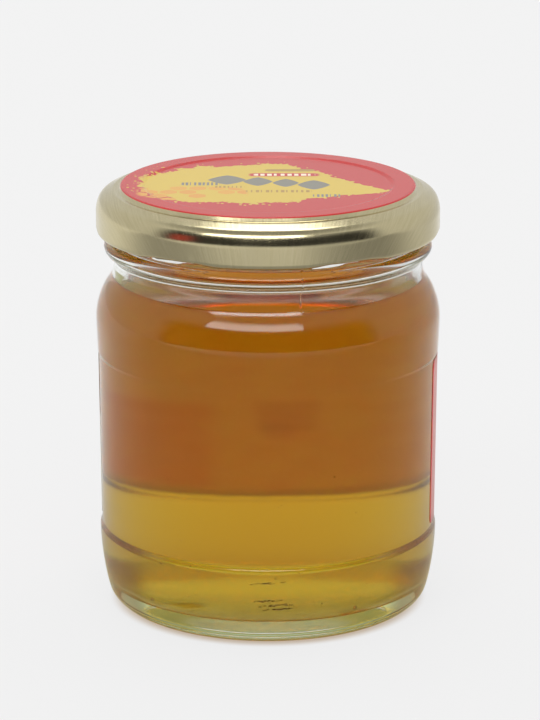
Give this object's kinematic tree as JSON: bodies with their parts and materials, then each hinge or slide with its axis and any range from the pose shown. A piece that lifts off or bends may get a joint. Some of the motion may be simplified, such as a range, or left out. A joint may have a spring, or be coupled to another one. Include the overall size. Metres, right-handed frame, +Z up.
{
  "type": "honey jar",
  "caption": "Filled round glass honey jar, shut with a gold tinplate twist-off lid that has a red printed panel, with a paper label wrapped round its back.",
  "frame": {"origin": "centre of the ring that the jar stands on, at the height of the surface under it", "axes": "+Z up along the jar's axis; -Y to the front, where the label leaves the glass bare; +X to the right of the front"},
  "size_m": [0.0856, 0.0856, 0.1067],
  "materials": {
    "clear_glass": "clear pressed glass",
    "honey": "clear amber liquid",
    "lid_metal": "gold-lacquered tinplate, brushed grain, printed panel",
    "label_paper": "printed paper"
  },
  "bodies": {
    "root": {"glass_jar": "clear_glass", "honey": "honey", "lid": "lid_metal", "label": "label_paper"}
  },
  "joints": []
}
